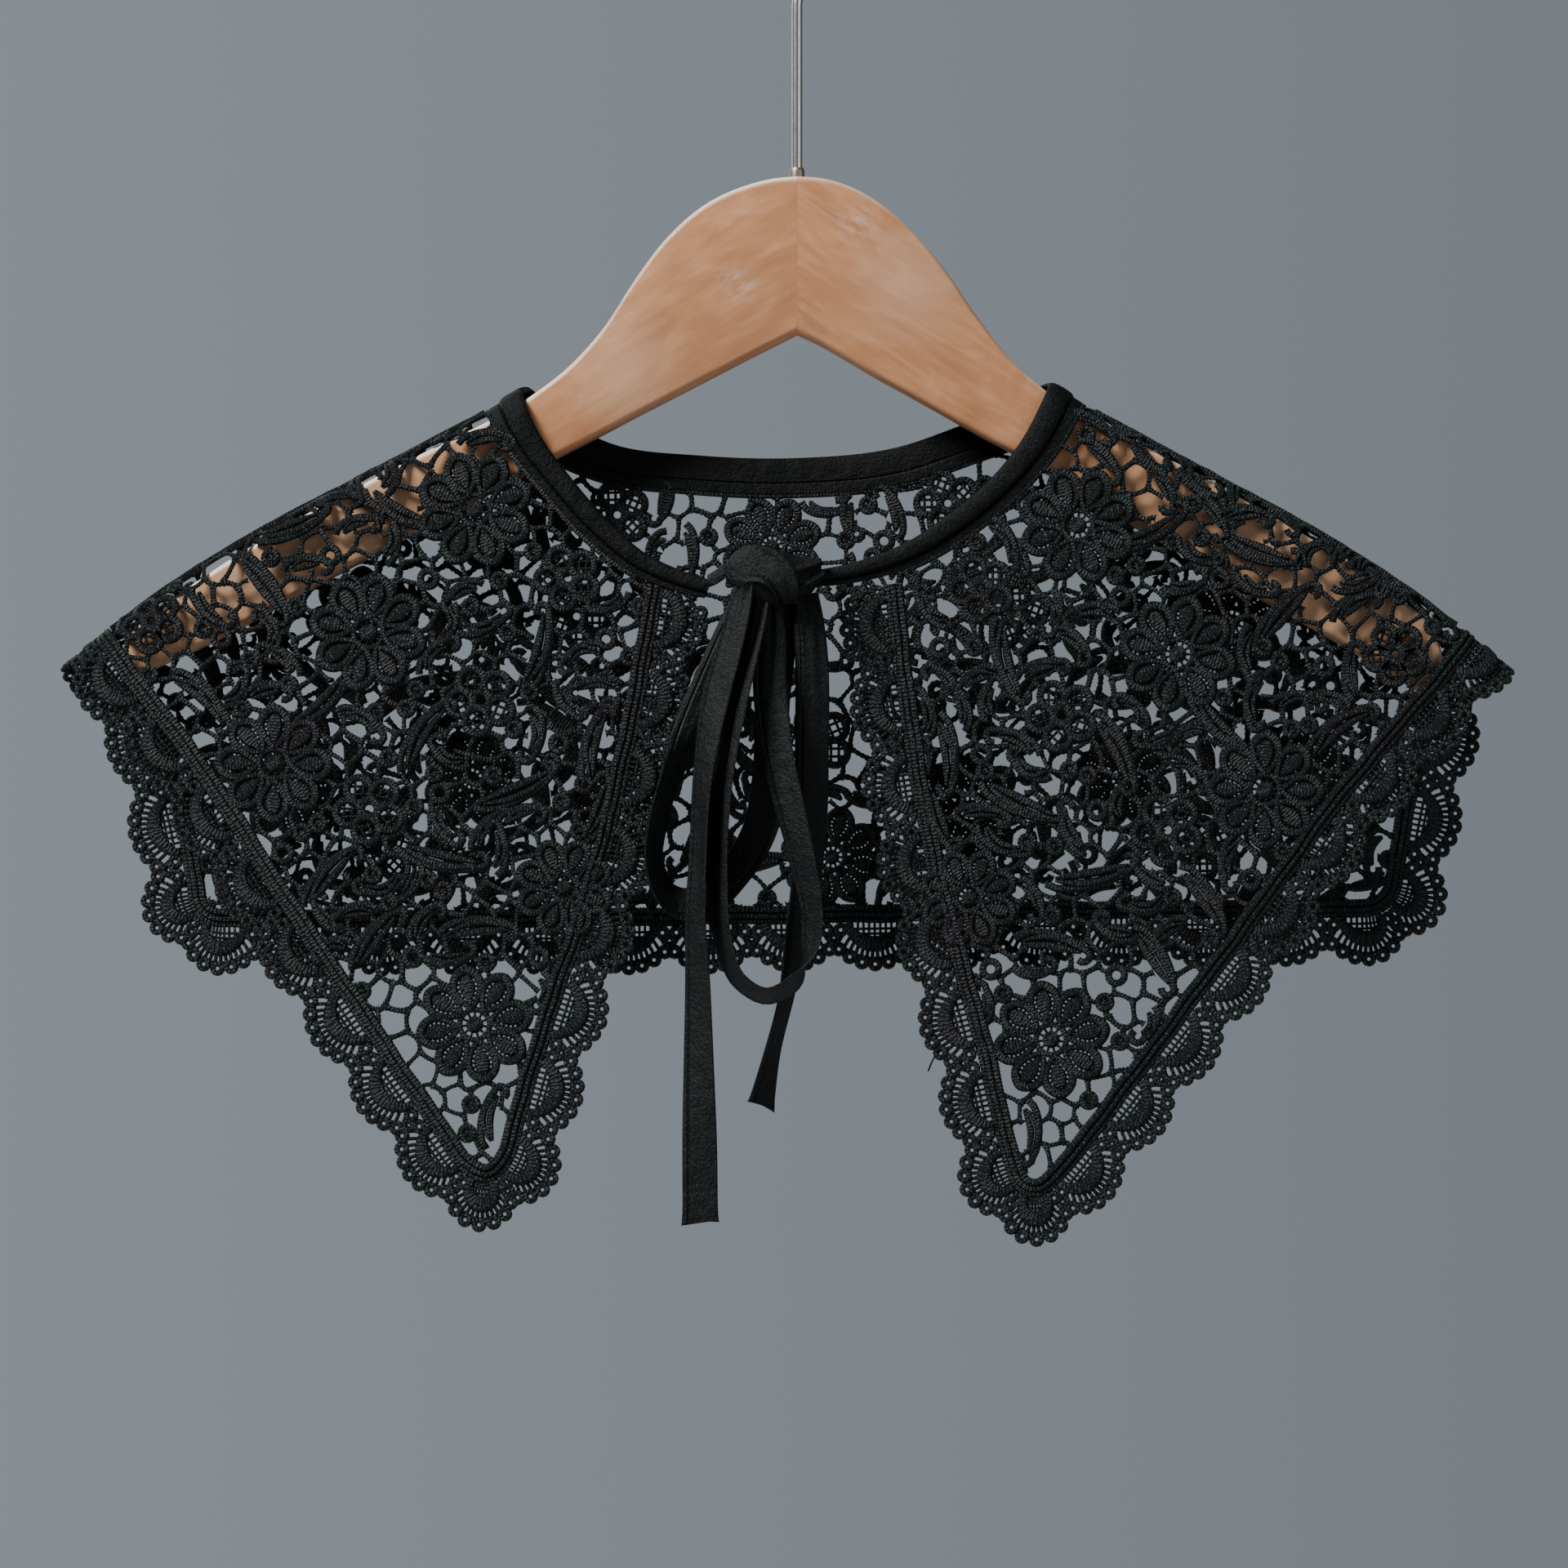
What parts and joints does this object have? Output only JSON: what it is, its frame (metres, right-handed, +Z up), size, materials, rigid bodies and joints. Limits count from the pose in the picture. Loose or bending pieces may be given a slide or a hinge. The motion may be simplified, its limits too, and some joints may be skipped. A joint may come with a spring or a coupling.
{
  "type": "lace collar scarf on a hanger",
  "caption": "Shoulder-covering lace collar scarf with pointed fronts, scalloped edges and a ribbon bow, hung on a flat wooden hanger.",
  "frame": {"origin": "the inside of the hook's top, where a rail bears", "axes": "+Z up, -Y the front of the collar, +X to the right seen from the front"},
  "size_m": [0.5025, 0.0398, 0.4861],
  "materials": {
    "wood": "worn satin lacquer",
    "hook_steel": "bright drawn wire",
    "collar_steel": "aged",
    "lace": "matt stitched lace",
    "edging": "matt satin stitch",
    "binding": "smooth tape",
    "ribbon": "soft crepe sheen"
  },
  "bodies": {
    "root": {"hanger_arm_left": "wood", "hanger_arm_right": "wood", "hanger_hook": "hook_steel", "hook_collar": "collar_steel", "lace_front_left": "lace", "lace_front_right": "lace", "lace_back": "lace", "edging_front_left": "edging", "edging_front_right": "edging", "edging_back": "edging", "neck_binding_left": "binding", "neck_binding_right": "binding", "neck_binding_back": "binding", "bow_knot": "ribbon", "tie_feed": "ribbon", "bow_loop_front": "ribbon", "bow_loop_back": "ribbon", "tie_tail_long": "ribbon", "tie_tail_short": "ribbon"}
  },
  "joints": []
}
